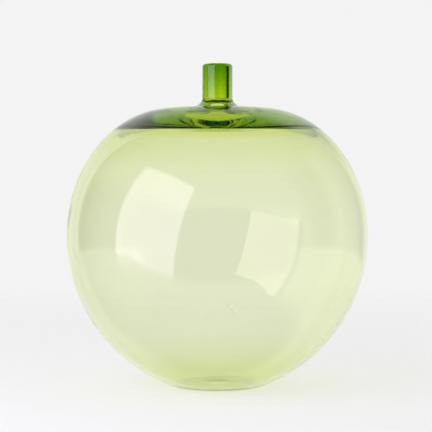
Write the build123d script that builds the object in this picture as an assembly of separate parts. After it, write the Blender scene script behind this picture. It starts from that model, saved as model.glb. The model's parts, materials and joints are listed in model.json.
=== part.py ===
"""Blown glass apple: a hollow green bubble cased in clear glass, with a heavy crown and a tube for a stem.

The glass stands on the flat of its base at Z = 0, and everything is turned about the Z axis.
Every piece is one gather of glass, and neighbours meet face to face along their fused seams.
Sizes are in millimetres.
"""

from build123d import *
import math
import os

# Outline of the body, from the base up
foot_radius = 38.0  # flat that the apple stands on
foot_round = 45.0  # rounding from that flat into the belly
widest_radius = 165.0
widest_height = 167.0
crown_rise = 139.0  # from the widest place up to the ridge round the stem's hollow

# Layers of the wall
casing_wall = 2.8  # clear glass outside
colour_wall = 1.5  # green glass inside, from the widest place down
colour_crown_wall = 3.0  # green glass inside, where it would reach the ridge
colour_floor = 1.0  # green glass at the bottom of the bubble

# Seal left by the finishing iron, ground flush and polished hollow
seal_radius = 20.0
seal_thickness = 1.6
seal_rim = 5.0  # flat ring left round the polished hollow
hollow_depth = 0.6
casing_over_seal = 2.2

# Stem and crown
bore_radius = 10.0
stem_wall = 6.5
stem_rise = 48.0  # above the ridge
lip_round = 3.0
flare_spread = 22.0  # how far the collar under the stem spreads beyond its tube
flare_height = 12.0
dimple_run = 10.0  # from the edge of the collar out to the ridge
dimple_depth = 1.0
crown_thickness = 24.5  # green glass under the clear casing, down to the bubble's rim
dome_rise = 8.0  # from the bubble's rim up to where its ceiling would meet the axis
mouth_reach = 30.0  # rounding of the bore's mouth, outwards from under the stem's outside
mouth_height = 14.0  # and upwards from the ceiling

# Radii and heights that follow from the sizes above
stem_radius = bore_radius + stem_wall
collar_radius = stem_radius + flare_spread
ridge_radius = collar_radius + dimple_run
ridge_height = widest_height + crown_rise
stem_top = ridge_height + stem_rise
valley_height = ridge_height - dimple_depth
flare_top = valley_height + flare_height
rim_height = valley_height - casing_wall - crown_thickness
casing_floor = seal_thickness + casing_over_seal
cavity_floor = casing_floor + colour_floor
cavity_inset = casing_wall + colour_wall
cavity_crown_inset = casing_wall + colour_crown_wall

# The belly is one arc, upright at the widest place and tangent to the rounding of the foot
belly_reach = widest_radius - foot_radius
belly_drop = widest_height - foot_round
belly_radius = (belly_reach**2 + belly_drop**2 - foot_round**2) / (2 * (belly_reach - foot_round))
belly_centre = widest_radius - belly_radius

# The bubble's ceiling is a shallow dome, level at the axis, from the rim to the rounded mouth of the bore
rim_share = (rim_height - widest_height) / (crown_rise - cavity_crown_inset)
rim_radius = ridge_radius + (widest_radius - cavity_inset - ridge_radius) * math.sqrt(1 - rim_share**2)
dome_radius = (rim_radius**2 + dome_rise**2) / (2 * dome_rise)
dome_centre = rim_height + dome_rise - dome_radius
mouth_edge = stem_radius + mouth_reach
mouth_spread = mouth_edge - bore_radius
mouth_top = dome_centre + math.sqrt(dome_radius**2 - mouth_edge**2) + mouth_height


def bowl_curves(inset, floor_height, start_radius=0.0):
    """The floor from a start radius outwards, and the belly up to the widest place, inset from the outside."""
    corner = foot_round - inset
    drop = widest_height - floor_height - corner
    centre_distance = belly_radius - foot_round
    floor_radius = belly_centre + math.sqrt(centre_distance**2 - drop**2)
    turn = math.degrees(math.asin(drop / centre_distance))
    return [
        Line((start_radius, floor_height), (floor_radius, floor_height)),
        CenterArc((floor_radius, floor_height + corner), corner, -90, 90 - turn),
        CenterArc((belly_centre, widest_height), belly_radius - inset, -turn, turn),
    ]


def shoulder_angle(crown_inset, height):
    """Where a shoulder with that inset at the ridge passes a height, as the ellipse's own angle."""
    return math.degrees(math.asin((height - widest_height) / (crown_rise - crown_inset)))


def shoulder_curve(side_inset, crown_inset, start=0.0, end=90.0):
    """The shoulder from the widest place to the ridge, a quarter ellipse, or a stretch of it."""
    return EllipticalCenterArc(
        (ridge_radius, widest_height),
        widest_radius - side_inset - ridge_radius,
        crown_rise - crown_inset,
        start_angle=start,
        arc_size=end - start,
    )


def dimple_curve(inset):
    """The hollow round the stem, level at the ridge and level again at the collar."""
    middle = (ridge_radius + collar_radius) / 2
    return Bezier(
        (ridge_radius, ridge_height - inset),
        (middle, ridge_height - inset),
        (middle, valley_height - inset),
        (collar_radius, valley_height - inset),
    )


def flare_curve():
    """The flare from the stem's tube down and out to the foot of the collar."""
    return EllipticalCenterArc(
        (collar_radius, flare_top), flare_spread, flare_height, start_angle=180, arc_size=90
    )


def dome_curve():
    """The ceiling of the bubble, from its rim in to the mouth of the bore."""
    start = math.degrees(math.acos(rim_radius / dome_radius))
    end = math.degrees(math.acos(mouth_edge / dome_radius))
    return CenterArc((0, dome_centre), dome_radius, start, end - start)


def mouth_curve():
    """The rounding from the bore down and out to the ceiling."""
    return EllipticalCenterArc(
        (mouth_edge, mouth_top), mouth_spread, mouth_height, start_angle=180, arc_size=90
    )


def turned(curves):
    """A solid turned about the Z axis from a closed outline of radius against height."""
    return revolve(Plane.XZ * make_face(curves), Axis.Z)


def make_clear_casing():
    """The clear outer gather: the whole skin, its foot, and the recess for the seal."""
    return turned([
        *bowl_curves(0, 0, seal_radius),
        shoulder_curve(0, 0),
        dimple_curve(0),
        Line((collar_radius, valley_height), (collar_radius, valley_height - casing_wall)),
        dimple_curve(casing_wall),
        shoulder_curve(casing_wall, casing_wall),
        *bowl_curves(casing_wall, casing_floor),
        Line((0, casing_floor), (0, seal_thickness)),
        Line((0, seal_thickness), (seal_radius, seal_thickness)),
        Line((seal_radius, seal_thickness), (seal_radius, 0)),
    ])


def make_colour_bubble():
    """The green inner gather, blown hollow and open at the crown, thickest at the shoulders."""
    outer_end = shoulder_angle(casing_wall, rim_height)
    inner_end = shoulder_angle(cavity_crown_inset, rim_height)
    outer_wall = shoulder_curve(casing_wall, casing_wall, 0, outer_end)
    inner_wall = shoulder_curve(cavity_inset, cavity_crown_inset, 0, inner_end)
    return turned([
        *bowl_curves(casing_wall, casing_floor),
        outer_wall,
        Line(outer_wall @ 1, inner_wall @ 1),
        inner_wall,
        *bowl_curves(cavity_inset, cavity_floor),
        Line((0, cavity_floor), (0, casing_floor)),
    ])


def make_crown_gather():
    """The heavy green glass under the stem: a domed ceiling and the bore's mouth below, a collar above."""
    wall = shoulder_curve(casing_wall, casing_wall, shoulder_angle(casing_wall, rim_height), 90)
    return turned([
        dome_curve(),
        Line((rim_radius, rim_height), wall @ 0),
        wall,
        dimple_curve(casing_wall),
        Line((collar_radius, valley_height - casing_wall), (collar_radius, valley_height)),
        flare_curve(),
        Line((stem_radius, flare_top), (bore_radius, flare_top)),
        Line((bore_radius, flare_top), (bore_radius, mouth_top)),
        mouth_curve(),
    ])


def make_stem():
    """The deep green tube on the crown's collar, with a lip rounded in the fire."""
    lip = min(lip_round, 0.49 * stem_wall)
    return turned([
        Line((bore_radius, flare_top), (stem_radius, flare_top)),
        Line((stem_radius, flare_top), (stem_radius, stem_top - lip)),
        TangentArc((stem_radius, stem_top - lip), (stem_radius - lip, stem_top), tangent=(0, 1)),
        Line((stem_radius - lip, stem_top), (bore_radius + lip, stem_top)),
        TangentArc((bore_radius + lip, stem_top), (bore_radius, stem_top - lip), tangent=(-1, 0)),
        Line((bore_radius, stem_top - lip), (bore_radius, flare_top)),
    ])


def make_punty_seal():
    """The clear disc that the finishing iron left under the base, with its polished hollow."""
    hollow_radius = seal_radius - seal_rim
    return turned([
        TangentArc((0, hollow_depth), (hollow_radius, 0), tangent=(1, 0)),
        Line((hollow_radius, 0), (seal_radius, 0)),
        Line((seal_radius, 0), (seal_radius, seal_thickness)),
        Line((seal_radius, seal_thickness), (0, seal_thickness)),
        Line((0, seal_thickness), (0, hollow_depth)),
    ])


pieces = {
    "clear_casing": make_clear_casing(),
    "colour_bubble": make_colour_bubble(),
    "crown_gather": make_crown_gather(),
    "stem": make_stem(),
    "punty_seal": make_punty_seal(),
}

os.makedirs("parts", exist_ok=True)
for name, piece in pieces.items():
    export_step(piece, f"parts/{name}.step")
    print(name, "volume", round(piece.volume / 1000), "cm3")
print("bore runs from", round(mouth_top, 2), "to", round(stem_top - lip_round, 2))
print("rim at", round(rim_height, 2), "and belly radius", round(belly_radius, 2))
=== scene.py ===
# %% [markdown]
# A blown glass apple is made of gathers: lumps of hot glass that fuse where they touch.
# This one has five, and each becomes one piece here: a clear casing, a green bubble inside it,
# a heavy crown, a tube for a stem, and the seal that the finishing iron left under the base.
# The measured model is loaded first, as a frame that never moves. Its box is kept, because
# the finished glass has to stay inside it.

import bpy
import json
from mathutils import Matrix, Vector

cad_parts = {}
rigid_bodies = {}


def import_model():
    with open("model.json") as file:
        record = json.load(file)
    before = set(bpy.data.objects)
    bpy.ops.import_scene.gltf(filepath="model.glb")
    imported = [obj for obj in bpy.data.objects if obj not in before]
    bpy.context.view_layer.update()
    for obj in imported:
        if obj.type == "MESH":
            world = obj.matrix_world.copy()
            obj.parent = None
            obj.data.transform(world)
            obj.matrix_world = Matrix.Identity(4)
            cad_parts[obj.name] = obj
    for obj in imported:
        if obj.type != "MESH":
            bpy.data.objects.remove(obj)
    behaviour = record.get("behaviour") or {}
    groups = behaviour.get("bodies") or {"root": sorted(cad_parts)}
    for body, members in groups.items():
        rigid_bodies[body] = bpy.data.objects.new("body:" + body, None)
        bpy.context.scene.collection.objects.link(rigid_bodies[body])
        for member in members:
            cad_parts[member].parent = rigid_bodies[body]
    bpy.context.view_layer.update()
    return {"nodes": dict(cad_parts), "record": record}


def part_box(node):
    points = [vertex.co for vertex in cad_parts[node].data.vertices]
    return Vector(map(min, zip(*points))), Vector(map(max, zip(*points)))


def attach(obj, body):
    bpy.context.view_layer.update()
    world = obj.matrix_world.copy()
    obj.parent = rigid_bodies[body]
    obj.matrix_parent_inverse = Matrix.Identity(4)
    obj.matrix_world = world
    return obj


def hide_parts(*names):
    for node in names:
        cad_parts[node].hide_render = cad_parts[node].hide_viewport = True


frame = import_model()
print("frame nodes:", sorted(frame["nodes"]))

# %% [markdown]
# Glass turned on a pipe is round, so a few radii and heights describe all of it.
# They could be typed in again, but most can be read off the boxes of the frame's nodes,
# and then the looks follow the frame if its sizes change. Everything is in metres.

# %% Read the main sizes from the frame
import json
import math

import bmesh
import bpy
from mathutils import Matrix, Vector

casing_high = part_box("clear_casing")[1]
bubble_low, bubble_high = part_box("colour_bubble")
stem_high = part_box("stem")[1]
seal_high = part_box("punty_seal")[1]
mounts = {mount["name"]: mount for mount in frame["record"]["mounts"]}

widest_radius = casing_high.x
ridge_height = casing_high.z
casing_wall = widest_radius - bubble_high.x
casing_floor = bubble_low.z
rim_height = bubble_high.z
stem_top = stem_high.z
stem_radius = stem_high.x
seal_radius = seal_high.x
seal_thickness = seal_high.z
bore_radius = mounts["stem_bore"]["dims"]["r_mm"] / 1000
print(f"body {2 * widest_radius:.3f} m wide, stem {stem_top:.3f} m high, casing wall {casing_wall:.4f} m")

# %% [markdown]
# The rest are the shapes between those places: how the belly rounds into the foot,
# how the shoulder falls from the ridge, and how thin the colour was blown.
# The belly is one arc that is upright at the widest place and meets the foot's rounding smoothly,
# so its radius is worked out and not chosen.

# %% Set the sizes between them
widest_height = 0.167
foot_radius = 0.038
foot_round = 0.045
colour_wall = 0.0015
colour_crown_wall = 0.003
colour_floor = 0.001
lip_round = 0.003
flare_spread = 0.022
flare_height = 0.012
dimple_run = 0.010
dimple_depth = 0.001
dome_rise = 0.008
mouth_reach = 0.030
mouth_height = 0.014
seal_rim = 0.005
hollow_depth = 0.0006

crown_rise = ridge_height - widest_height
collar_radius = stem_radius + flare_spread
ridge_radius = collar_radius + dimple_run
valley_height = ridge_height - dimple_depth
flare_top = valley_height + flare_height
cavity_floor = casing_floor + colour_floor
cavity_inset = casing_wall + colour_wall
cavity_crown_inset = casing_wall + colour_crown_wall

belly_reach = widest_radius - foot_radius
belly_drop = widest_height - foot_round
belly_radius = (belly_reach**2 + belly_drop**2 - foot_round**2) / (2 * (belly_reach - foot_round))
belly_centre = widest_radius - belly_radius
print(f"belly arc radius {belly_radius:.4f} m")

# %% [markdown]
# An outline is a row of points, each a radius and a height, which a lathe then turns about the axis.
# Arcs and lines could be drawn as curves and converted, but a formula gives the same points each time
# and lets a wall be shifted inwards by an exact amount. Three helpers are enough:
# a line, a stretch of an ellipse, and a soft step between two levels.

# %% Draw lines, arcs and steps
def line(start, end, steps=1):
    """Points along a straight line."""
    return [
        (start[0] + (end[0] - start[0]) * i / steps, start[1] + (end[1] - start[1]) * i / steps)
        for i in range(steps + 1)
    ]


def arc(centre, radii, start, end, steps):
    """Points along an ellipse about a centre, from one angle to another in degrees."""
    angles = [math.radians(start + (end - start) * i / steps) for i in range(steps + 1)]
    return [(centre[0] + radii[0] * math.cos(a), centre[1] + radii[1] * math.sin(a)) for a in angles]


def step(start, end, steps):
    """Points from one level to another, level at both ends."""
    points = []
    for i in range(steps + 1):
        share = i / steps
        rise = share * share * (3 - 2 * share)
        points.append((start[0] + (end[0] - start[0]) * share, start[1] + (end[1] - start[1]) * rise))
    return points


quarter = arc((0, 0), (1, 1), 0, 90, steps=4)
print("a quarter circle in four steps:", [(round(x, 2), round(z, 2)) for x, z in quarter])

# %% [markdown]
# The walls of the body are used many times: the outside, the seam under the casing and the inside
# of the bubble are the same curves, each shifted inwards. So each curve is a function of its inset.

# %% Draw the walls of the body
def bowl(inset, floor_height, start_radius=0.0, steps=64):
    """The floor, the rounding of the foot and the belly up to the widest place."""
    corner = foot_round - inset
    drop = widest_height - floor_height - corner
    centre_distance = belly_radius - foot_round
    floor_radius = belly_centre + math.sqrt(centre_distance**2 - drop**2)
    turn = math.degrees(math.asin(drop / centre_distance))
    side = belly_radius - inset
    return (
        line((start_radius, floor_height), (floor_radius, floor_height), steps=6)
        + arc((floor_radius, floor_height + corner), (corner, corner), -90, -turn, steps // 4)
        + arc((belly_centre, widest_height), (side, side), -turn, 0, steps)
    )


def shoulder_angle(crown_inset, height):
    """Where a shoulder passes a height, as the ellipse's own angle in degrees."""
    return math.degrees(math.asin((height - widest_height) / (crown_rise - crown_inset)))


def shoulder(side_inset, crown_inset, start=0.0, end=90.0, steps=64):
    """The shoulder from the widest place to the ridge, or a stretch of it."""
    radii = (widest_radius - side_inset - ridge_radius, crown_rise - crown_inset)
    return arc((ridge_radius, widest_height), radii, start, end, steps)


def dimple(inset, steps=16):
    """The hollow round the stem, from the ridge in to the collar."""
    return step((ridge_radius, ridge_height - inset), (collar_radius, valley_height - inset), steps)


print("outside of the body:", len(bowl(0, 0) + shoulder(0, 0) + dimple(0)), "points")

# %% [markdown]
# Where two gathers are fused there is no surface to see: light goes straight on from one glass
# to the next. Blender needs closed pieces though, so both keep a face there, and each face says
# what it meets: the air outside, the hollow of the bubble, or more glass. The two faces stand
# a hair apart, because faces in the very same place would flicker.

# %% Join stretches into an outline
SKIN = "skin"
HOLLOW = "hollow"
SEAM = "seam"
seam_gap = 0.00002
same_place = 1e-7


def outline(*stretches):
    """One row of points and, for each, what the span that begins there meets."""
    points = []
    meets = []
    for kind, stretch in stretches:
        for point in stretch:
            if points and math.dist(points[-1], point) < same_place:
                continue
            if points:
                meets.append(kind)
            points.append(point)
    meets.append(meets[-1])
    return points, meets


print("kinds of face:", SKIN, HOLLOW, SEAM)

# %% [markdown]
# The lathe, the glass and the studio are all made of nodes. Written out in full, each node takes
# several lines, so a few helpers keep the trees short to read: one starts a Geometry Nodes tree
# with named inputs, one adds a node and fills or links its sockets, and one is for sums.

# %% Make helpers for nodes
def new_tree(name, sockets):
    """An empty Geometry Nodes tree with a geometry socket at both ends and named inputs."""
    tree = bpy.data.node_groups.new(name, "GeometryNodeTree")
    tree.interface.new_socket("Geometry", in_out="INPUT", socket_type="NodeSocketGeometry")
    for socket_name, kind in sockets:
        tree.interface.new_socket(socket_name, in_out="INPUT", socket_type="NodeSocket" + kind)
    tree.interface.new_socket("Geometry", in_out="OUTPUT", socket_type="NodeSocketGeometry")
    return tree


def add_node(tree, kind, inputs=None, **settings):
    """A new node with its settings made and its inputs set to values or linked to sockets."""
    made = tree.nodes.new(kind)
    for name, value in settings.items():
        setattr(made, name, value)
    for name, value in (inputs or {}).items():
        if isinstance(value, bpy.types.NodeSocket):
            tree.links.new(value, made.inputs[name])
        else:
            made.inputs[name].default_value = value
    return made


def math_node(tree, operation, first, second=0.0):
    """The output of a Math node."""
    return add_node(tree, "ShaderNodeMath", {0: first, 1: second}, operation=operation).outputs[0]


print("helpers for nodes:", new_tree.__name__, add_node.__name__, math_node.__name__)

# %% [markdown]
# The lathe is a Geometry Nodes tree. It makes a flat grid with one row for each point of the outline
# and one column for each step round the axis, then turns every grid point's outline point
# by its column's angle. The Screw modifier could turn an outline too, but the tree also carries
# each face's kind along, and lets the hand of the blower in.

# %% Turn the outline's points
lathe_tree = new_tree("lathe", [
    ("Steps Round", "Int"),
    ("Wobble", "Float"),
    ("Wobble Scale", "Float"),
    ("Ripple", "Float"),
    ("Ripple Scale", "Float"),
    ("Seed", "Float"),
    ("Glass", "Material"),
])
given = add_node(lathe_tree, "NodeGroupInput").outputs
size = add_node(lathe_tree, "GeometryNodeAttributeDomainSize", {0: given["Geometry"]}, component="MESH")
columns = math_node(lathe_tree, "ADD", given["Steps Round"], 1.0)
grid = add_node(lathe_tree, "GeometryNodeMeshGrid", {
    "Vertices X": size.outputs["Point Count"],
    "Vertices Y": columns,
})
index = add_node(lathe_tree, "GeometryNodeInputIndex").outputs[0]
half_step = math_node(lathe_tree, "ADD", index, 0.5)


def row_of(width):
    """The row that a grid element lies in, when a row is that many elements wide."""
    return math_node(lathe_tree, "FLOOR", math_node(lathe_tree, "DIVIDE", half_step, width))


def sampled(value, kind, row):
    """A value of the outline, read at a row."""
    inputs = {"Geometry": given["Geometry"], "Value": value, "Index": row}
    return add_node(lathe_tree, "GeometryNodeSampleIndex", inputs, data_type=kind).outputs[0]


point_row = row_of(columns)
row_start = math_node(lathe_tree, "MULTIPLY", point_row, columns)
point_column = math_node(lathe_tree, "SUBTRACT", index, row_start)
turn_step = math_node(lathe_tree, "DIVIDE", math.tau, given["Steps Round"])
position = add_node(lathe_tree, "GeometryNodeInputPosition").outputs[0]
turned_point = add_node(lathe_tree, "ShaderNodeVectorRotate", {
    "Vector": sampled(position, "FLOAT_VECTOR", point_row),
    "Angle": math_node(lathe_tree, "MULTIPLY", point_column, turn_step),
}, rotation_type="Z_AXIS").outputs[0]
print("lathe tree so far:", len(lathe_tree.nodes), "nodes")

# %% [markdown]
# Now the grid's points move to those places, and what each face meets is stored on it,
# so that the glass can read it later. The grid is closed where its ends meet and on the axis.

# %% Place and close the grid
closing_distance = 1e-6


def outline_value(name):
    """A named number of the outline's points."""
    inputs = {"Name": name}
    return add_node(lathe_tree, "GeometryNodeInputNamedAttribute", inputs, data_type="FLOAT").outputs[0]


placed = add_node(lathe_tree, "GeometryNodeSetPosition", {
    "Geometry": grid.outputs["Mesh"],
    "Position": turned_point,
}).outputs[0]
for name, domain, width in (
    ("seam", "FACE", given["Steps Round"]),
    ("ripple", "POINT", columns),
):
    placed = add_node(lathe_tree, "GeometryNodeStoreNamedAttribute", {
        "Geometry": placed,
        "Name": name,
        "Value": sampled(outline_value(name), "FLOAT", row_of(width)),
    }, data_type="FLOAT", domain=domain).outputs[0]
outwards = add_node(lathe_tree, "GeometryNodeFlipFaces", {0: placed}).outputs[0]
closed = add_node(lathe_tree, "GeometryNodeMergeByDistance", {
    "Geometry": outwards,
    "Distance": closing_distance,
}).outputs[0]
print("lathe tree so far:", len(lathe_tree.nodes), "nodes")

# %% [markdown]
# Glass blown by hand is never quite round. All pieces share one slow wobble, so that their seams
# still meet, and it only shrinks them, so that they stay inside the frame's box. A fine ripple
# is left to the inside of the bubble. Both could be sculpted, but noise is even all round.

# %% Let in the hand of the blower
def noise_about_zero(scale, seed):
    """A smooth random value between about -0.5 and 0.5 at each point."""
    inputs = {"Vector": position, "W": seed, "Scale": scale, "Detail": 1.0}
    noise = add_node(lathe_tree, "ShaderNodeTexNoise", inputs, noise_dimensions="4D").outputs[0]
    return math_node(lathe_tree, "SUBTRACT", noise, 0.5)


slow_noise = noise_about_zero(given["Wobble Scale"], given["Seed"])
fine_noise = noise_about_zero(given["Ripple Scale"], given["Seed"])
out_of_round = math_node(lathe_tree, "MULTIPLY", given["Wobble"], slow_noise)
waves = math_node(lathe_tree, "MULTIPLY", given["Ripple"], fine_noise)
waves_inside = math_node(lathe_tree, "MULTIPLY", waves, outline_value("ripple"))
inward = math_node(lathe_tree, "MULTIPLY", given["Wobble"], -0.5)
swell = math_node(lathe_tree, "ADD", inward, math_node(lathe_tree, "ADD", out_of_round, waves_inside))
from_axis = add_node(
    lathe_tree, "ShaderNodeVectorMath", {0: position, 1: (1, 1, 0)}, operation="MULTIPLY"
).outputs[0]
shift = add_node(
    lathe_tree, "ShaderNodeVectorMath", {0: from_axis, "Scale": swell}, operation="SCALE"
).outputs[0]
blown = add_node(lathe_tree, "GeometryNodeSetPosition", {"Geometry": closed, "Offset": shift}).outputs[0]
print("lathe tree so far:", len(lathe_tree.nodes), "nodes")

# %% [markdown]
# Smooth shading hides the facets. The edges that stay crisp are marked: real corners, and the ends
# of a seam, where smooth shading would otherwise lean over from a face that nobody sees.
# The tree ends in plain geometry with its glass on it.

# %% Shade the glass and end the lathe tree
crisp_angle = math.radians(35)

corner = add_node(lathe_tree, "GeometryNodeInputMeshEdgeAngle").outputs["Unsigned Angle"]
sharp = math_node(lathe_tree, "GREATER_THAN", corner, crisp_angle)
seam_share = math_node(lathe_tree, "SUBTRACT", outline_value("seam"), 0.5)
seam_end = math_node(lathe_tree, "LESS_THAN", math_node(lathe_tree, "ABSOLUTE", seam_share), 0.25)
crisp = math_node(lathe_tree, "MAXIMUM", sharp, seam_end)
smooth = add_node(lathe_tree, "GeometryNodeSetShadeSmooth", {
    "Geometry": blown,
    "Shade Smooth": True,
}, domain="FACE").outputs[0]
shaded = add_node(lathe_tree, "GeometryNodeSetShadeSmooth", {
    "Geometry": smooth,
    "Selection": crisp,
    "Shade Smooth": False,
}, domain="EDGE").outputs[0]


def end_tree(tree, geometry, material):
    """The end of a tree: plain geometry, without instances, in its glass."""
    plain = add_node(tree, "GeometryNodeRealizeInstances", {"Geometry": geometry}).outputs[0]
    coated = add_node(tree, "GeometryNodeSetMaterial", {"Geometry": plain, "Material": material}).outputs[0]
    add_node(tree, "NodeGroupOutput", {"Geometry": coated})


end_tree(lathe_tree, shaded, given["Glass"])
print("lathe tree finished:", len(lathe_tree.nodes), "nodes")

# %% [markdown]
# Each piece now goes onto the lathe in the same way: its outline is a mesh of points and edges,
# what each point meets is stored with it, and the tree is a modifier on top. The trees could be set up
# by hand for every piece, but one helper makes sure that all of them share one wobble.

# %% Put an outline on the lathe
steps_round = 192
wobble = 0.003
wobble_scale = 6.0
ripple = 0.0015
ripple_scale = 16.0
blower_seed = 4.0


def new_object(name, data):
    """An object in the scene that shows a mesh, a lamp or a camera."""
    made = bpy.data.objects.new(name, data)
    bpy.context.scene.collection.objects.link(made)
    return made


def add_modifier(piece, tree, values):
    """Put a Geometry Nodes tree on a piece, with its inputs found by name and set by identifier."""
    modifier = piece.modifiers.new(tree.name, "NODES")
    modifier.node_group = tree
    for item in tree.interface.items_tree:
        if item.item_type == "SOCKET" and item.in_out == "INPUT" and item.name in values:
            modifier[item.identifier] = values[item.name]


def turn(name, material, *stretches):
    """A piece of glass on the lathe: its outline as a mesh, and the lathe as a modifier."""
    points, meets = outline(*stretches)
    mesh = bpy.data.meshes.new(name)
    mesh.from_pydata([(r, 0, z) for r, z in points], [(i, i + 1) for i in range(len(points) - 1)], [])
    fused = [float(kind == SEAM) for kind in meets]
    hollow = [i for i, kind in enumerate(meets) if kind == HOLLOW]
    rippled = [0.0] * len(points)
    for order, i in enumerate(hollow):
        rippled[i] = math.sin(math.pi * order / len(hollow))
    mesh.attributes.new("seam", "FLOAT", "POINT").data.foreach_set("value", fused)
    mesh.attributes.new("ripple", "FLOAT", "POINT").data.foreach_set("value", rippled)
    piece = new_object(name, mesh)
    add_modifier(piece, lathe_tree, {
        "Steps Round": steps_round,
        "Wobble": wobble,
        "Wobble Scale": wobble_scale,
        "Ripple": ripple,
        "Ripple Scale": ripple_scale,
        "Seed": blower_seed,
        "Glass": material,
    })
    return piece


print("lathe turns in", steps_round, "steps")

# %% [markdown]
# A modifier only shows its result, so the result is copied into the piece as a plain mesh
# and the modifier is taken off. A closed mesh has a volume, and its sign tells whether the faces
# point outwards, so the volume is measured and printed for every piece.

# %% Freeze a piece and measure it
cm3_per_m3 = 1000000


def freeze(piece):
    """Turn what the modifiers make into the piece's own plain mesh, and measure it."""
    depsgraph = bpy.context.evaluated_depsgraph_get()
    made = bpy.data.meshes.new_from_object(piece.evaluated_get(depsgraph), depsgraph=depsgraph)
    piece.modifiers.clear()
    piece.data = made
    shape = bmesh.new()
    shape.from_mesh(made)
    volume = shape.calc_volume(signed=True)
    open_edges = sum(not edge.is_manifold for edge in shape.edges)
    shape.free()
    volume_cm3 = volume * cm3_per_m3
    print(f"{piece.name}: {len(made.polygons)} faces, {volume_cm3:.1f} cm3, {open_edges} open edges")


print("volumes are in cm3, of which a cubic metre holds", cm3_per_m3)

# %% [markdown]
# Coloured glass has no colour on its surface. White light loses some of its red and blue on the way
# through, and the longer the way, the deeper the green, so the colour is a loss per metre inside
# each gather. A tinted surface would be quicker, but thin and thick places would be the same green.
# A smaller part of the colour is still set on the surface, as tints by height: glass is deeper
# where a gather was thick or was heated again, and a loss that changes with height is slow to render.

# %% Tint the glass by height
def empty_nodes(owner):
    """The node tree of a material or a world, with nothing in it."""
    owner.use_nodes = True
    owner.node_tree.nodes.clear()
    return owner.node_tree


def tint_by_height(tree, height, tints):
    """A colour that passes through tints, each given with its height, from the lowest up."""
    low = tints[0][0]
    high = tints[-1][0]
    share = add_node(tree, "ShaderNodeMapRange", {
        "Value": height,
        "From Min": low,
        "From Max": high,
    }).outputs[0]
    ramp = add_node(tree, "ShaderNodeValToRGB", {"Fac": share})
    stops = ramp.color_ramp.elements
    while len(stops) < len(tints):
        stops.new(0.5)
    for stop, (stop_height, tint) in zip(stops, tints):
        stop.position = (stop_height - low) / (high - low)
        stop.color = (*tint, 1)
    return ramp.outputs["Color"]


print("tints go from the base at 0 to the lip at", round(stem_top, 3))

# %% [markdown]
# The surface itself reflects and bends light. It is fire polished, yet not perfect: a faint orange
# peel bends reflections a little. The foot is ground, so it is dull. On a seam the surface is
# see-through, because two fused gathers have none there. One function makes every glass,
# so that all of them meet alike.

# %% Mix the glass
peel_scale = 28.0
peel_detail = 2.0
peel_height = 0.00006
grain_scale = 900.0
grain_detail = 3.0
grain_roughness = 0.5


def noise(tree, place, scale, detail):
    """A smooth random value between 0 and 1 at a place."""
    inputs = {"Vector": place, "Scale": scale, "Detail": detail}
    return add_node(tree, "ShaderNodeTexNoise", inputs).outputs[0]


def glass(name, loss, bending=1.5, ground_height=0.0, tints=()):
    """Glass that loses red, green and blue by so much per metre, ground up to a height, with tints."""
    material = bpy.data.materials.new(name)
    tree = empty_nodes(material)
    place = add_node(tree, "ShaderNodeTexCoord").outputs["Object"]
    height = add_node(tree, "ShaderNodeSeparateXYZ", {0: place}).outputs["Z"]
    peel = noise(tree, place, peel_scale, peel_detail)
    finish = {
        "Base Color": (1, 1, 1, 1),
        "Roughness": 0.0,
        "IOR": bending,
        "Transmission Weight": 1.0,
        "Normal": add_node(tree, "ShaderNodeBump", {"Height": peel, "Distance": peel_height}).outputs[0],
    }
    if ground_height:
        ground = math_node(tree, "LESS_THAN", height, ground_height)
        grain = math_node(tree, "MULTIPLY", noise(tree, place, grain_scale, grain_detail), grain_roughness)
        finish["Roughness"] = math_node(tree, "MULTIPLY", ground, grain)
    if tints:
        finish["Base Color"] = tint_by_height(tree, height, tints)
    surface = add_node(tree, "ShaderNodeBsdfPrincipled", finish).outputs[0]
    through = add_node(tree, "ShaderNodeBsdfTransparent").outputs[0]
    seam = add_node(tree, "ShaderNodeAttribute", attribute_name="seam").outputs["Fac"]
    skin = add_node(tree, "ShaderNodeMixShader", {0: seam, 1: surface, 2: through}).outputs[0]
    density = max(loss)
    inside = add_node(tree, "ShaderNodeVolumeAbsorption", {
        "Density": density,
        "Color": (*(1 - part / density for part in loss), 1),
    }).outputs[0]
    add_node(tree, "ShaderNodeOutputMaterial", {"Surface": skin, "Volume": inside})
    return material


print("peel of", peel_height * 1000, "mm on every glass")

# %% [markdown]
# Four glasses are enough for five pieces: clear for the casing and the seal, pale green for the bubble,
# leaf green for the crown and deep green for the stem. The bubble deepens at its base and under its rim,
# the crown on its collar, and the stem towards its lip. The stem also bends light more, as glass
# with a lot of colour in it can, which widens the bands along its sides.

# %% Choose the four glasses
untinted = (1.0, 1.0, 1.0)
base_tint = (0.88, 0.94, 0.48)
rim_tint = (0.95, 0.965, 0.84)
collar_tint = (0.62, 0.75, 0.12)
lip_tint = (0.37, 0.60, 0.30)
base_deepest = 0.003
base_end = 0.050
rim_start = 0.240

clear_glass = glass("clear glass", (0.6, 0.3, 0.9), ground_height=0.0003)
pale_green_glass = glass("pale green glass", (30, 15, 125), tints=[
    (base_deepest, base_tint),
    (base_end, untinted),
    (rim_start, untinted),
    (rim_height, rim_tint),
])
leaf_green_glass = glass("leaf green glass", (10, 6.2, 55), tints=[
    (valley_height, untinted),
    (flare_top, collar_tint),
])
deep_green_glass = glass("deep green glass", (62, 29, 420), bending=1.6, tints=[
    (flare_top, untinted),
    (stem_top, lip_tint),
])
print("four glasses mixed")

# %% [markdown]
# The casing is the last gather: clear glass over the colour, which makes the apple's skin and its foot.
# Its outline starts on the axis in the recess for the seal, runs round the outside to the collar
# of the crown, and comes back along the seam to the axis.

# %% Turn the clear casing
def back(points):
    """The same points the other way round."""
    return points[::-1]


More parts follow.
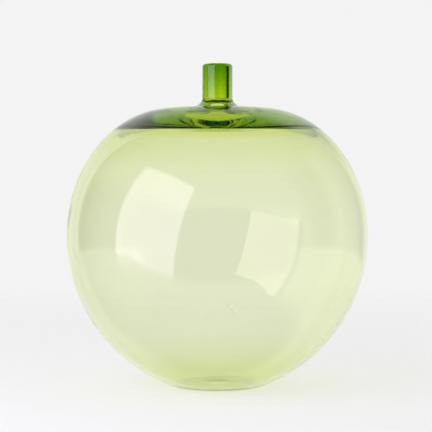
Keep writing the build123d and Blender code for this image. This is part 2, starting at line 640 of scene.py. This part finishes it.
inner_wall = casing_wall - seam_gap
recess_side = seal_radius + seam_gap
recess_top = seal_thickness + seam_gap
collar_side = collar_radius + seam_gap
casing = turn(
    "casing_glass", clear_glass,
    (SEAM, line((0, recess_top), (recess_side, recess_top), steps=6)),
    (SEAM, line((recess_side, recess_top), (recess_side, 0))),
    (SKIN, bowl(0, 0, recess_side) + shoulder(0, 0) + dimple(0)),
    (SEAM, line((collar_side, valley_height), (collar_side, valley_height - inner_wall))),
    (SEAM, back(dimple(inner_wall))),
    (SEAM, back(shoulder(inner_wall, inner_wall))),
    (SEAM, back(bowl(inner_wall, casing_floor - seam_gap))),
)
print(casing.name, "is on the lathe")

# %% [markdown]
# Hot glass traps air. The apple shows one such seed low on its front, flattened and drawn out along
# the wall as the glass was blown. A seed is a hole, so it is a small ball with its faces turned inwards,
# joined to the casing. Painting a pale stroke would be simpler, but a hole bends light
# as the real one does.

# %% Build the seed tree
seed_tree = new_tree("seed", [
    ("Place", "Vector"),
    ("Lean", "Vector"),
    ("Size", "Vector"),
    ("Glass", "Material"),
])
asked = add_node(seed_tree, "NodeGroupInput").outputs
ball = add_node(seed_tree, "GeometryNodeMeshUVSphere", {"Segments": 20, "Rings": 12, "Radius": 1.0})
round_ball = add_node(seed_tree, "GeometryNodeSetShadeSmooth", {
    "Geometry": ball.outputs["Mesh"],
    "Shade Smooth": True,
}).outputs[0]
hole = add_node(seed_tree, "GeometryNodeFlipFaces", {0: round_ball}).outputs[0]
drawn_out = add_node(seed_tree, "GeometryNodeTransform", {
    "Geometry": hole,
    "Translation": asked["Place"],
    "Rotation": asked["Lean"],
    "Scale": asked["Size"],
}).outputs[0]
joined = add_node(seed_tree, "GeometryNodeJoinGeometry", {0: drawn_out})
seed_tree.links.new(asked["Geometry"], joined.inputs[0])
end_tree(seed_tree, joined.outputs[0], asked["Glass"])
print("seed tree finished:", len(seed_tree.nodes), "nodes")

# %% [markdown]
# The seed lies in the middle of the wall and leans as the wall leans there. Both could be measured
# on the mesh, but the wall's own curve, shifted in by half its thickness, gives the place exactly.

# %% Trap air in the casing
seed_height = 0.097
seed_azimuth = math.radians(-85)
seed_size = (0.0002, 0.0012, 0.0042)

wall_middle = bowl(casing_wall / 2, casing_floor / 2)
nearest = min(range(1, len(wall_middle) - 1), key=lambda i: abs(wall_middle[i][1] - seed_height))
radius, level = wall_middle[nearest]
before = wall_middle[nearest - 1]
after = wall_middle[nearest + 1]
add_modifier(casing, seed_tree, {
    "Place": (radius * math.cos(seed_azimuth), radius * math.sin(seed_azimuth), level),
    "Lean": (0.0, math.atan2(after[0] - before[0], after[1] - before[1]), seed_azimuth),
    "Size": seed_size,
    "Glass": clear_glass,
})
print(f"seed at radius {radius:.3f} m and height {level:.3f} m")
freeze(casing)

# %% [markdown]
# The bubble is the gather that holds the colour. It was blown hollow, so it is thickest at the shoulders,
# where it cooled first, and hardly a millimetre at the floor. It stops at a level rim under the crown.

# %% Turn the colour bubble
outer_wall = casing_wall + seam_gap
rim = rim_height - seam_gap
outer_shoulder = shoulder(outer_wall, outer_wall, 0, shoulder_angle(outer_wall, rim))
inner_shoulder = shoulder(cavity_inset, cavity_crown_inset, 0, shoulder_angle(cavity_crown_inset, rim))
bubble = turn(
    "bubble_glass", pale_green_glass,
    (SEAM, bowl(outer_wall, casing_floor + seam_gap) + outer_shoulder),
    (SEAM, line(outer_shoulder[-1], inner_shoulder[-1])),
    (HOLLOW, back(inner_shoulder) + back(bowl(cavity_inset, cavity_floor))),
)
freeze(bubble)

# %% [markdown]
# The crown is the heavy glass at the pipe's end. Light that enters it from the side is trapped between
# its top and its ceiling and goes a long way before it leaves, so little colour gives a deep green.
# Above, it draws up into a collar for the stem. Below, its ceiling is a shallow dome that opens
# into the bore through a wide, rounded mouth. The bright arcs round the foot of the stem are that mouth,
# seen through the glass.

# %% Turn the crown
rim_radius = inner_shoulder[-1][0]
dome_radius = (rim_radius**2 + dome_rise**2) / (2 * dome_rise)
dome_centre = (0, rim_height + dome_rise - dome_radius)
mouth_edge = stem_radius + mouth_reach
dome_start = math.degrees(math.acos(mouth_edge / dome_radius))
dome_end = math.degrees(math.acos(rim_radius / dome_radius))
ceiling = arc(dome_centre, (dome_radius, dome_radius), dome_start, dome_end, steps=40)
mouth_top = ceiling[0][1] + mouth_height
mouth_radii = (mouth_edge - bore_radius, mouth_height)

crown_wall = shoulder(outer_wall, outer_wall, shoulder_angle(outer_wall, rim_height), 90)
crown = turn(
    "crown_glass", leaf_green_glass,
    (HOLLOW, ceiling),
    (SEAM, line(ceiling[-1], crown_wall[0])),
    (SEAM, crown_wall + dimple(outer_wall)),
    (SEAM, line((collar_radius, valley_height - outer_wall), (collar_radius, valley_height))),
    (SKIN, arc((collar_radius, flare_top), (flare_spread, flare_height), 270, 180, steps=32)),
    (SEAM, line((stem_radius, flare_top), (bore_radius, flare_top), steps=4)),
    (SKIN, line((bore_radius, flare_top), (bore_radius, mouth_top), steps=8)),
    (SKIN, arc((mouth_edge, mouth_top), mouth_radii, 180, 270, steps=40)),
)
freeze(crown)

# %% [markdown]
# The stem is a tube of the deepest green, set on the crown's collar. Its bore goes on through the crown
# into the bubble, and its lip was rounded in the fire.

# %% Turn the stem
stem_foot = flare_top + seam_gap
lip_height = stem_top - lip_round
lip_radii = (lip_round, lip_round)
stem = turn(
    "stem_glass", deep_green_glass,
    (SEAM, line((bore_radius, stem_foot), (stem_radius, stem_foot), steps=4)),
    (SKIN, line((stem_radius, stem_foot), (stem_radius, lip_height), steps=8)),
    (SKIN, arc((stem_radius - lip_round, lip_height), lip_radii, 0, 90, steps=14)),
    (SKIN, arc((bore_radius + lip_round, lip_height), lip_radii, 90, 180, steps=14)),
    (SKIN, line((bore_radius, lip_height), (bore_radius, stem_foot), steps=8)),
)
freeze(stem)

# %% [markdown]
# A finishing iron held the apple by its base while the stem was worked. What it left was ground flush
# and polished to a shallow hollow, so the seal is a thin clear disc.

# %% Turn the seal
hollow_radius = seal_radius - seal_rim
hollow_bend = (hollow_radius**2 + hollow_depth**2) / (2 * hollow_depth)
hollow_turn = math.degrees(math.asin(hollow_radius / hollow_bend))
hollow_centre = (0, hollow_depth - hollow_bend)
seal = turn(
    "seal_glass", clear_glass,
    (SKIN, arc(hollow_centre, (hollow_bend, hollow_bend), 90, 90 - hollow_turn, steps=10)),
    (SKIN, line((hollow_radius, 0), (seal_radius, 0), steps=3)),
    (SEAM, line((seal_radius, 0), (seal_radius, seal_thickness))),
    (SEAM, line((seal_radius, seal_thickness), (0, seal_thickness), steps=6)),
)
freeze(seal)

# %% [markdown]
# Each piece stands for its node of the frame and rides on the one body that there is.

# %% Hang the pieces on the frame
for piece, node_name, slot_name in (
    (casing, "clear_casing", "clear_glass"),
    (bubble, "colour_bubble", "pale_green_glass"),
    (crown, "crown_gather", "leaf_green_glass"),
    (stem, "stem", "deep_green_glass"),
    (seal, "punty_seal", "clear_glass"),
):
    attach(piece, "root")
    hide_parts(node_name)
    print(piece.name, "stands for", node_name)

# %% [markdown]
# The apple stands on a pale table. Seen from the camera the table has no end: it fades out
# into the white behind it, because a hard horizon would cut the picture in two. In front and at the right
# it ends nearer, also softly, and there the glass shows the dimmer room instead of the table.
# Half of the table's look is paint, which takes the apple's shadow. The other half is an even glow,
# because paint alone would come out patchy under one lamp.

# %% Lay the table
table_reach = 1.5
table_front = -0.42
table_back = 1.78
table_drop = 0.0002
table_white = (0.8, 0.8, 0.8, 1)
table_glow = 0.88
evenness = 0.5
far_fade = (0.25, 1.40)
front_fade = (-0.30, table_front)
right_fade = (0.20, 0.45)


def soft_share(tree, value, start, end):
    """A share that goes smoothly from 0 at the start to 1 at the end."""
    return add_node(tree, "ShaderNodeMapRange", {
        "Value": value,
        "From Min": start,
        "From Max": end,
    }, interpolation_type="SMOOTHSTEP").outputs[0]


table_corners = [
    (-table_reach, table_front, -table_drop),
    (table_reach, table_front, -table_drop),
    (table_reach, table_back, -table_drop),
    (-table_reach, table_back, -table_drop),
]
table_mesh = bpy.data.meshes.new("table")
table_mesh.from_pydata(table_corners, [], [(0, 1, 2, 3)])
table = new_object("table", table_mesh)
table_paint = bpy.data.materials.new("pale table")
table_tree = empty_nodes(table_paint)
paint = add_node(table_tree, "ShaderNodeBsdfDiffuse", {"Color": table_white}).outputs[0]
glow = add_node(table_tree, "ShaderNodeEmission", {"Strength": table_glow}).outputs[0]
even = add_node(table_tree, "ShaderNodeMixShader", {0: evenness, 1: paint, 2: glow}).outputs[0]
spot = add_node(table_tree, "ShaderNodeTexCoord").outputs["Object"]
distance = add_node(table_tree, "ShaderNodeVectorMath", {0: spot}, operation="LENGTH").outputs["Value"]
spot_parts = add_node(table_tree, "ShaderNodeSeparateXYZ", {0: spot}).outputs
ending = soft_share(table_tree, distance, *far_fade)
for value, fade in ((spot_parts["Y"], front_fade), (spot_parts["X"], right_fade)):
    ending = math_node(table_tree, "MAXIMUM", ending, soft_share(table_tree, value, *fade))
clear = add_node(table_tree, "ShaderNodeBsdfTransparent").outputs[0]
faded = add_node(table_tree, "ShaderNodeMixShader", {0: ending, 1: even, 2: clear}).outputs[0]
add_node(table_tree, "ShaderNodeOutputMaterial", {"Surface": faded})
table_mesh.materials.append(table_paint)
print("table from", table_front, "to", table_back)

# %% [markdown]
# Glass shows its surroundings more than itself. Behind the apple hangs a white backdrop, the table
# goes on towards it, and the rest of the studio is dimmer. Cards and lamps could stand there, but a world
# painted by direction is simpler, and each edge in it is one number. The helpers below say
# where a direction lies, as a share between 0 and 1, and blend levels by such shares.

# %% Make helpers for the studio
world = bpy.data.worlds.new("studio")
bpy.context.scene.world = world
studio_tree = empty_nodes(world)
direction = add_node(studio_tree, "ShaderNodeTexCoord").outputs["Generated"]
path = add_node(studio_tree, "ShaderNodeLightPath").outputs


def side_of(normal, reach=0.0, softness=0.07):
    """1 on the side of a plane that its normal points to, with a soft edge."""
    inputs = {0: direction, 1: normal}
    along = add_node(studio_tree, "ShaderNodeVectorMath", inputs, operation="DOT_PRODUCT").outputs["Value"]
    return soft_share(studio_tree, along, reach, reach + softness)


def both(first, second):
    """The smaller of two shares."""
    return math_node(studio_tree, "MINIMUM", first, second)


def either(first, second):
    """The larger of two shares."""
    return math_node(studio_tree, "MAXIMUM", first, second)


def above(value, limit):
    """1 where a value is above a limit."""
    return math_node(studio_tree, "GREATER_THAN", value, limit)


def blend(level, other, share):
    """One level, or another where the share is 1."""
    difference = math_node(studio_tree, "SUBTRACT", other, level)
    return math_node(studio_tree, "ADD", level, math_node(studio_tree, "MULTIPLY", share, difference))


print("world:", world.name)

# %% [markdown]
# In a studio, cards and flags are moved until each reflection looks right. Here every part of the room
# has three levels for that: for light that the skin mirrors, for light from inside a gather,
# and for light from across the hollow. Light Path tells them apart, because it counts
# how many surfaces a ray has passed through. One level for each part would be simpler,
# but then the dark bands of the stem and the bright side of the body could not both be right.

# %% Set the levels of the room
surfaces_passed = path["Transmission Depth"]
in_glass = above(surfaces_passed, 0.5)
across_hollow = above(surfaces_passed, 3.5)

leftwards = (-1.0, 0.0, 0.0)
rightwards = (1.0, 0.0, 0.0)
backwards = (0.0, 1.0, 0.0)
upwards = (0.0, 0.0, 1.0)
downwards = (0.0, 0.0, -1.0)

front_levels = (0.03, 0.50, 0.12)
left_levels = (0.08, 0.72, 1.00)
right_levels = (0.95, 0.05, 0.30)
overhead_levels = (0.05, 0.60, 0.05)


def by_path(on_skin, inside, across):
    """One of three levels: on the skin, from inside a gather, or from across the hollow."""
    return blend(blend(on_skin, inside, in_glass), across, across_hollow)


beside = side_of(backwards, reach=-0.3)
behind = side_of(backwards, reach=0.05, softness=0.25)
room = by_path(*front_levels)
for levels, share in (
    (left_levels, both(beside, side_of(leftwards))),
    (right_levels, both(by_path(behind, beside, beside), side_of(rightwards))),
    (overhead_levels, side_of(upwards, reach=0.55, softness=0.25)),
):
    room = blend(room, by_path(*levels), share)
print("room painted with", len(studio_tree.nodes), "nodes")

# %% [markdown]
# The backdrop is white between its two edges and up to its top, which is lower for light from inside
# the glass. Below the horizon the far table is white too, and light from across the hollow
# also sees it end at the right. The camera, and any ray that has only passed through the thin walls,
# sees plain white, as the picture's background. Light that falls on the table is an even soft fill.

# %% Hang the backdrop
white_level = 0.90
fill_level = 1.0
left_edge = (1.0, 1.23, 0.0)
right_edge = (-1.0, 0.80, 0.0)

below_top = by_path(
    side_of(downwards, reach=-1.0, softness=0.5),
    side_of(downwards, reach=-0.5, softness=0.35),
    side_of(downwards, reach=-0.7, softness=0.35),
)
between_edges = both(side_of(left_edge), side_of(right_edge, softness=0.3))
backdrop = both(both(between_edges, side_of(backwards)), below_top)
below_horizon = both(side_of(downwards, reach=0.08), side_of(backwards, reach=-0.55))
before_right_end = by_path(1.0, 1.0, side_of(leftwards, reach=-0.55, softness=0.3))
far_table = both(below_horizon, before_right_end)
studio = blend(room, white_level, either(backdrop, far_table))

unreflected = math_node(studio_tree, "LESS_THAN", path["Glossy Depth"], 0.5)
plain_view = either(path["Is Camera Ray"], both(across_hollow, unreflected))
seen = blend(studio, white_level, plain_view)
light = blend(seen, fill_level, above(path["Diffuse Depth"], 0.5))
background = add_node(studio_tree, "ShaderNodeBackground", {"Color": light}).outputs[0]
add_node(studio_tree, "ShaderNodeOutputWorld", {"Surface": background})
print("studio painted with", len(studio_tree.nodes), "nodes")

# %% [markdown]
# One large softbox stands at the left. It makes the tall bright window on the apple's side,
# and a second, turned-over image of it on the inside of the far wall. An area light of the same size
# does both, and the camera itself doesn't see it.

# %% Place the softbox
softbox_width = 0.86
softbox_height = 1.3
softbox_watts = 8.8
softbox_colour = (0.80, 0.70, 1.0)
softbox_azimuth = math.radians(50)
softbox_tilt = math.radians(8)
softbox_roll = math.radians(-10)
softbox_distance = 0.95
softbox_aim = Vector((0, 0, 0.19))

softbox_light = bpy.data.lights.new("softbox", "AREA")
softbox_light.shape = "RECTANGLE"
softbox_light.size = softbox_width
softbox_light.size_y = softbox_height
softbox_light.energy = softbox_watts
softbox_light.color = softbox_colour
softbox = new_object("softbox", softbox_light)
softbox.visible_camera = False
towards = Vector((
    -math.sin(softbox_azimuth) * math.cos(softbox_tilt),
    -math.cos(softbox_azimuth) * math.cos(softbox_tilt),
    math.sin(softbox_tilt),
))
facing = (-towards).to_track_quat("-Z", "Y").to_matrix() @ Matrix.Rotation(softbox_roll, 3, "Z")
softbox.location = softbox_aim + softbox_distance * towards
softbox.rotation_euler = facing.to_euler()
print("softbox at", [round(part, 2) for part in softbox.location])

# %% [markdown]
# The camera looks almost level from 1.6 m away, a little above the middle of the apple.
# Glass needs many bounces, because light enters and leaves several gathers and is reflected inside them,
# so the limits are raised. Reflections are not blurred to save time, or the stem's bands would wash out.

# %% Set the camera
camera_place = (-0.0016, -1.617, 0.232)
camera_pitch = math.radians(1.58)
camera_view = math.radians(16.7)

camera_data = bpy.data.cameras.new("camera")
camera_data.angle = camera_view
camera = new_object("camera", camera_data)
camera.location = camera_place
camera.rotation_euler = (math.pi / 2 - camera_pitch, 0, 0)
scene = bpy.context.scene
scene.camera = camera
scene.view_settings.view_transform = "Standard"
scene.cycles.blur_glossy = 0.0
scene.cycles.max_bounces = 40
scene.cycles.transmission_bounces = 40
scene.cycles.glossy_bounces = 24
scene.cycles.transparent_max_bounces = 64
print("camera at", camera_place)
